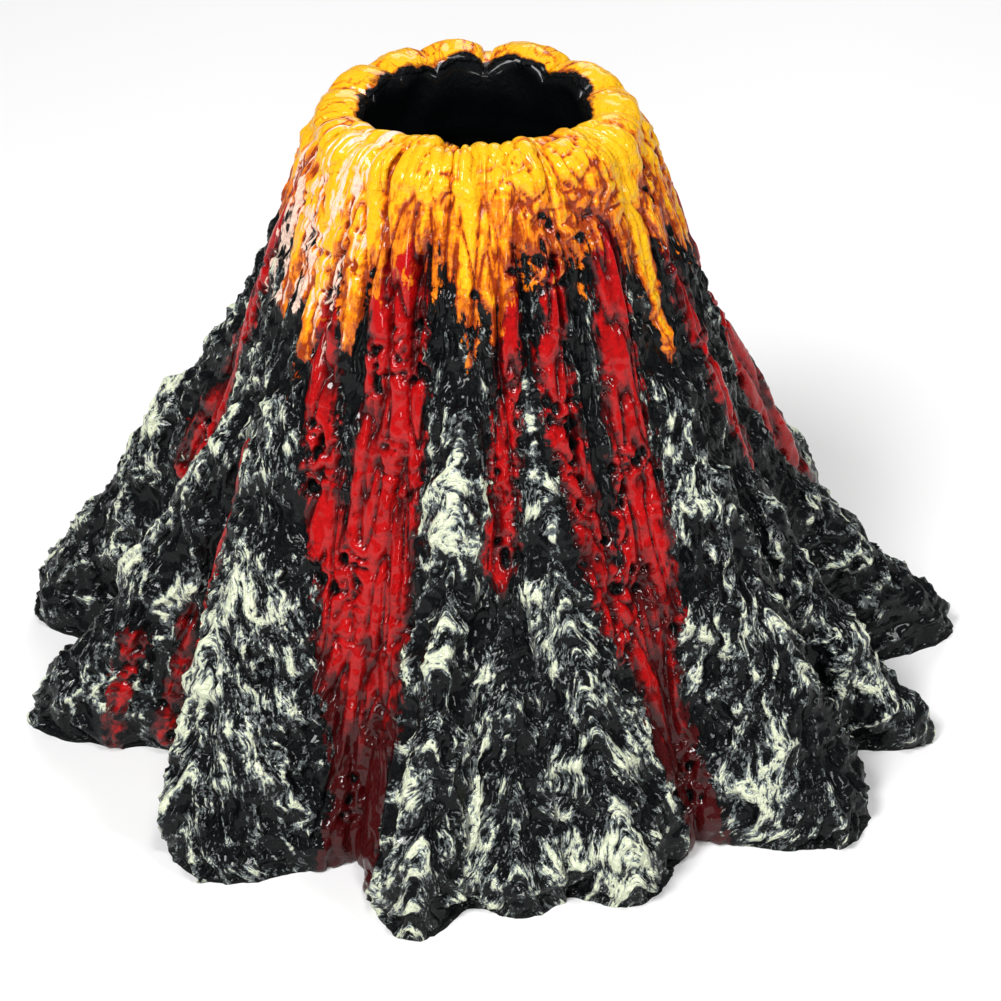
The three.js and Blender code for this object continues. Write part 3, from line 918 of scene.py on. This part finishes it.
def painted_resin():
    """Black, cream, red and yellow paint over cast resin, all under one gloss varnish, with painted shade
    in the red's grooves and painted highlights among the specks and pale streaks.
    """
    n = Nodes("painted_cast_resin")
    flow = n.attribute("flow", "Vector")
    relief_low = n.attribute("relief")
    band = n.attribute("band")
    ragged = n.noise(330, 4, 0.62, warp=1.0)
    runs = n.noise(0.34, 4, 0.62, place=flow)
    threads = n.noise(1.3, 3, 0.6, place=flow, warp=0.3)
    speck = n.noise(1300, 3, 0.65, warp=0.5)

    colour = n.mix(n.step(ragged, 0.4, 0.7), BLACK, SOOT)
    colour, high = drybrush(n, colour, n.attribute("crest"), ragged)

    edge = n.math("ADD", n.attribute("lava"), n.math("MULTIPLY_ADD", threads, 4.0, -2.1))
    edge = n.math("ADD", edge, n.math("MULTIPLY_ADD", ragged, 4.0, -2.0))
    edge = n.math("ADD", edge, n.step(n.attribute("holes"), 0.3, 0.9, 0.0, -1.6))
    edge = n.math("ADD", edge, n.step(relief_low, 0.1, 0.6, -2.2, 0.3))
    # Less lava towards the foot, except round -63 degrees.
    edge = n.math("MULTIPLY_ADD", n.attribute("foot_fade"), -1.2, edge)
    # Painted shade: the red turns deep red in grooves and holes, and also near the foot and near the lava's
    # edges; the noise adds random tone.
    bright = n.math("ADD", relief_low, n.math("MULTIPLY_ADD", ragged, 0.7, -0.35))
    bright = n.math("MULTIPLY_ADD", n.attribute("foot_fade"), -0.8, bright)
    bright = n.math("ADD", bright, n.step(edge, 0.0, 1.6, -0.35, 0.0))
    red = n.mix(n.step(bright, 0.45, 1.0), DEEP_RED_AND_SHADE, RED)
    wet = n.step(edge, -0.2, 0.3)
    colour = n.mix(wet, colour, red)

    lower = n.math("ADD", band, n.math("MULTIPLY_ADD", runs, 24.0, -12.0))
    lower = n.math("ADD", lower, n.math("MULTIPLY_ADD", threads, 9.0, -4.5))
    lower = n.math("ADD", lower, n.math("MULTIPLY_ADD", ragged, 16.0, -8.0))
    lower = n.math("ADD", lower, n.step(relief_low, 0.1, 0.9, -6.0, 3.0))
    lower = n.math("ADD", lower, n.step(n.attribute("holes"), 0.2, 0.5, 0.0, -7.0))
    warm = n.math("ADD", relief_low, n.math("MULTIPLY_ADD", threads, 0.7, -0.35))
    warm = n.math("ADD", warm, n.math("MULTIPLY_ADD", ragged, 0.9, -0.45))
    warm = n.math("ADD", warm, n.step(lower, 0, 22, -0.62, 0.28))
    hot = n.mix(n.step(warm, 0.18, 0.52), RUST, ORANGE)
    hot = n.mix(n.step(warm, 0.50, 0.85), hot, YELLOW)
    covered = n.step(lower, -0.7, 0.7)
    colour = n.mix(covered, colour, hot)
    # Pale pinkish streaks high on the left of the neck: partly pale paint, partly a painted highlight.
    blush_and_highlight = n.math("MULTIPLY_ADD", threads, 2.4, n.attribute("pale"))
    colour = n.mix(n.step(blush_and_highlight, 1.10, 1.34, 0.0, 0.92), colour, BLUSH_AND_HIGHLIGHT)

    mouth = n.math("ADD", n.attribute("inside"), n.math("MULTIPLY_ADD", n.noise(170, 4, 0.62), 1.5, -0.75))
    colour = n.mix(n.step(mouth, 0.42, 0.56, 0.0, 0.85), colour, RUST)
    inside = n.step(mouth, 0.55, 0.61)
    deep = n.step(mouth, 0.75, 1.0)
    colour = n.mix(inside, colour, BLACK)

    smooth_paint = n.math("MAXIMUM", n.math("MAXIMUM", wet, covered), inside)
    height = n.math("MULTIPLY_ADD", ragged, 1.2, n.math("MULTIPLY", speck, 0.7))
    height = n.math("MULTIPLY_ADD", n.noise(800, 2, 0.5, warp=0.6), 2.2, height)
    height = n.math("ADD", height, n.step(high, 0.4, 2.2, 0.0, 0.9))
    height = n.math("MULTIPLY", height, n.step(smooth_paint, 0.0, 1.0, 1.0, 0.60))
    height = n.math("MULTIPLY", height, n.step(deep, 0.0, 1.0, 1.0, 0.2))
    normal = n.bump(height, 0.0006, 0.75)
    n.set(Base_Color=colour, Roughness=n.step(speck, 0.3, 0.7, 0.28, 0.5), Normal=normal)
    gloss = n.math("ADD", n.step(wet, 0.0, 1.0, 0.24, 0.50), n.step(covered, 0.0, 1.0, 0.0, 0.2))
    gloss = n.math("MULTIPLY", gloss, n.step(inside, 0.0, 1.0, 1.0, 0.45))
    n.set(Coat_Weight=gloss, Coat_Roughness=0.06)
    n.set(Specular_IOR_Level=0.06)
    return n.material


def floor_material():
    n = Nodes("pale_floor")
    n.set(Base_Color=(0.86, 0.86, 0.86, 1), Roughness=0.6)
    return n.material


def moulded_plastic():
    """Black moulded plastic with a fine spark-eroded grain and a few faint scuffs."""
    n = Nodes("black_plastic")
    scuffs = n.noise(260, 3, 0.6, warp=2.5)
    colour = n.mix(n.step(scuffs, 0.45, 0.75), (0.010, 0.011, 0.012, 1), (0.022, 0.023, 0.024, 1))
    n.set(Base_Color=colour, Roughness=n.step(scuffs, 0.35, 0.7, 0.36, 0.50))
    n.set(Normal=n.bump(n.noise(2600, 2), 0.00006, 0.5))
    return n.material


def barb_plastic():
    """The same plastic, turned smoother where the hose slides on."""
    n = Nodes("barb_plastic")
    wear = n.noise(420, 3, 0.6, warp=1.5)
    colour = n.mix(n.step(wear, 0.45, 0.75), (0.012, 0.013, 0.014, 1), (0.03, 0.03, 0.031, 1))
    n.set(Base_Color=colour, Roughness=n.step(wear, 0.3, 0.7, 0.24, 0.38))
    n.set(Normal=n.bump(n.noise(1800, 2), 0.00004, 0.4))
    return n.material


def silicone():
    """Clear silicone with a slight milkiness and dull handling marks."""
    n = Nodes("clear_silicone")
    haze = n.noise(180, 3, 0.55, warp=0.8)
    colour = n.mix(n.step(haze, 0.35, 0.7), (0.72, 0.79, 0.80, 1), (0.84, 0.88, 0.88, 1))
    n.set(Base_Color=colour, Roughness=n.step(haze, 0.3, 0.7, 0.16, 0.34))
    n.set(Transmission_Weight=0.55, IOR=1.41, Normal=n.bump(n.noise(900, 2), 0.00005, 0.4))
    return n.material


def ring_rubber():
    """Black rubber with a dusty bloom."""
    n = Nodes("o_ring_rubber")
    bloom = n.noise(700, 3, 0.6)
    colour = n.mix(n.step(bloom, 0.4, 0.75), (0.012, 0.012, 0.012, 1), (0.04, 0.04, 0.04, 1))
    n.set(Base_Color=colour, Roughness=n.step(bloom, 0.3, 0.7, 0.5, 0.68))
    n.set(Normal=n.bump(n.noise(2400, 2), 0.00005, 0.5))
    return n.material


def porous_stone():
    """Grey bonded mineral grains, darkened between the grains and in the pores as painted shade."""
    n = Nodes("porous_mineral")
    grains = n.cells(1500)
    tint = n.noise(900, 2, 0.5)
    pores = n.noise(1100, 3, 0.6)
    colour = n.mix(n.step(tint, 0.35, 0.65), (0.22, 0.23, 0.235, 1), (0.46, 0.46, 0.44, 1))
    # Painted shade: darker in the gaps between the grains and nearly black in the pores.
    colour = n.mix(n.step(grains, 0.35, 0.75, 0.0, 0.7), colour, (0.09, 0.095, 0.10, 1))
    colour = n.mix(n.step(pores, 0.60, 0.68), colour, (0.03, 0.032, 0.034, 1))
    height = n.math("SUBTRACT", n.step(pores, 0.58, 0.70, 1.0, 0.0), grains)
    n.set(Base_Color=colour, Roughness=n.step(tint, 0.3, 0.7, 0.82, 0.96))
    n.set(Normal=n.bump(height, 0.0004, 0.9))
    return n.material


# ------------------------------------------------------------------ scene
AIM = np.array([0, 0, 0.05])
CAMERA_ELEVATION = 31.5  # degrees above the horizontal
CAMERA_DISTANCE = 0.45
CAMERA_LENS = 105.2
CAMERA_SENSOR = 36
CAMERA_SHIFT = (0.0095, -0.1004)
FLOOR_HALF = 1.5
SKY_STRENGTH = 0.10

# Square lamps aimed at the ornament: name, place, size, power.
LIGHTS = [
    ("key", (-0.35, -0.45, 0.75), 0.26, 7.4),
    ("front", (-0.05, -0.75, 0.30), 0.16, 1.0),
    ("top", (0.12, -0.15, 0.85), 0.18, 1.9),
    ("fill", (0.6, -0.4, 0.5), 0.18, 2.0),
    ("back", (0.1, 0.7, 0.6), 0.4, 2.6),
]


def look_at(thing, target):
    way = target - np.array(thing.location)
    flat = math.hypot(way[0], way[1])
    thing.rotation_euler = (math.atan2(flat, -way[2]), 0, math.atan2(-way[0], way[1]))


def add_camera():
    """Looks down at the ornament from the front, as a person holding it in one hand does."""
    elevation = math.radians(CAMERA_ELEVATION)
    data = bpy.data.cameras.new("camera")
    data.sensor_width = CAMERA_SENSOR
    data.lens = CAMERA_LENS
    data.shift_x, data.shift_y = CAMERA_SHIFT
    camera = bpy.data.objects.new("camera", data)
    way = np.array([0, -math.cos(elevation), math.sin(elevation)])
    camera.location = AIM + CAMERA_DISTANCE * way
    look_at(camera, AIM)
    bpy.context.scene.collection.objects.link(camera)
    bpy.context.scene.camera = camera


def add_light(name, place, size, power):
    data = bpy.data.lights.new(name, "AREA")
    data.size = size
    data.energy = power
    light = bpy.data.objects.new(name, data)
    light.location = place
    look_at(light, AIM)
    bpy.context.scene.collection.objects.link(light)


def add_stage():
    """A floor that the looks alone need, a faint sky, and the lamps."""
    mesh = bpy.data.meshes.new("floor")
    half = FLOOR_HALF
    corners = [(-half, -half, 0), (half, -half, 0), (half, half, 0), (-half, half, 0)]
    mesh.from_pydata(corners, [], [(0, 1, 2, 3)])
    mesh.materials.append(floor_material())
    floor = bpy.data.objects.new("floor", mesh)
    bpy.context.scene.collection.objects.link(floor)
    world = bpy.data.worlds.new("studio")
    world.use_nodes = True
    background = world.node_tree.nodes["Background"]
    background.inputs["Color"].default_value = (1, 1, 1, 1)
    background.inputs["Strength"].default_value = SKY_STRENGTH
    bpy.context.scene.world = world
    bpy.context.scene.view_settings.view_transform = "Standard"
    for light in LIGHTS:
        add_light(*light)


def place(piece, node, body, slot, material, sharp_angle=35):
    """Gives a finished piece its material, its body, and the CAD node that it stands for."""
    piece.name = node + "_skin"
    piece.data.name = piece.name
    piece.data.materials.clear()
    piece.data.materials.append(material)
    piece.data.shade_smooth()
    if sharp_angle:
        piece.data.set_sharp_from_angle(angle=math.radians(sharp_angle))
    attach(piece, body)
    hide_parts(node)


add_camera()
add_stage()
plastic = moulded_plastic()
clear = silicone()
place(make_volcano(), "volcano_shell", "volcano", "painted_cast_resin", painted_resin(), None)
place(make_housing(), "disc_housing", "bubbler", "black_plastic", plastic)
place(make_gasket(), "stone_gasket", "bubbler", "clear_silicone", clear)
place(make_stone(), "air_stone_disc", "stone", "porous_mineral", porous_stone(), None)
place(make_barb(), "inlet_barb", "bubbler", "barb_plastic", barb_plastic())
place(make_o_ring(), "barb_o_ring", "bubbler", "o_ring_rubber", ring_rubber())
for ear_side in EAR_ANGLES:
    place(make_suction_cup(ear_side), f"suction_cup_{ear_side}", "bubbler", "clear_silicone", clear)
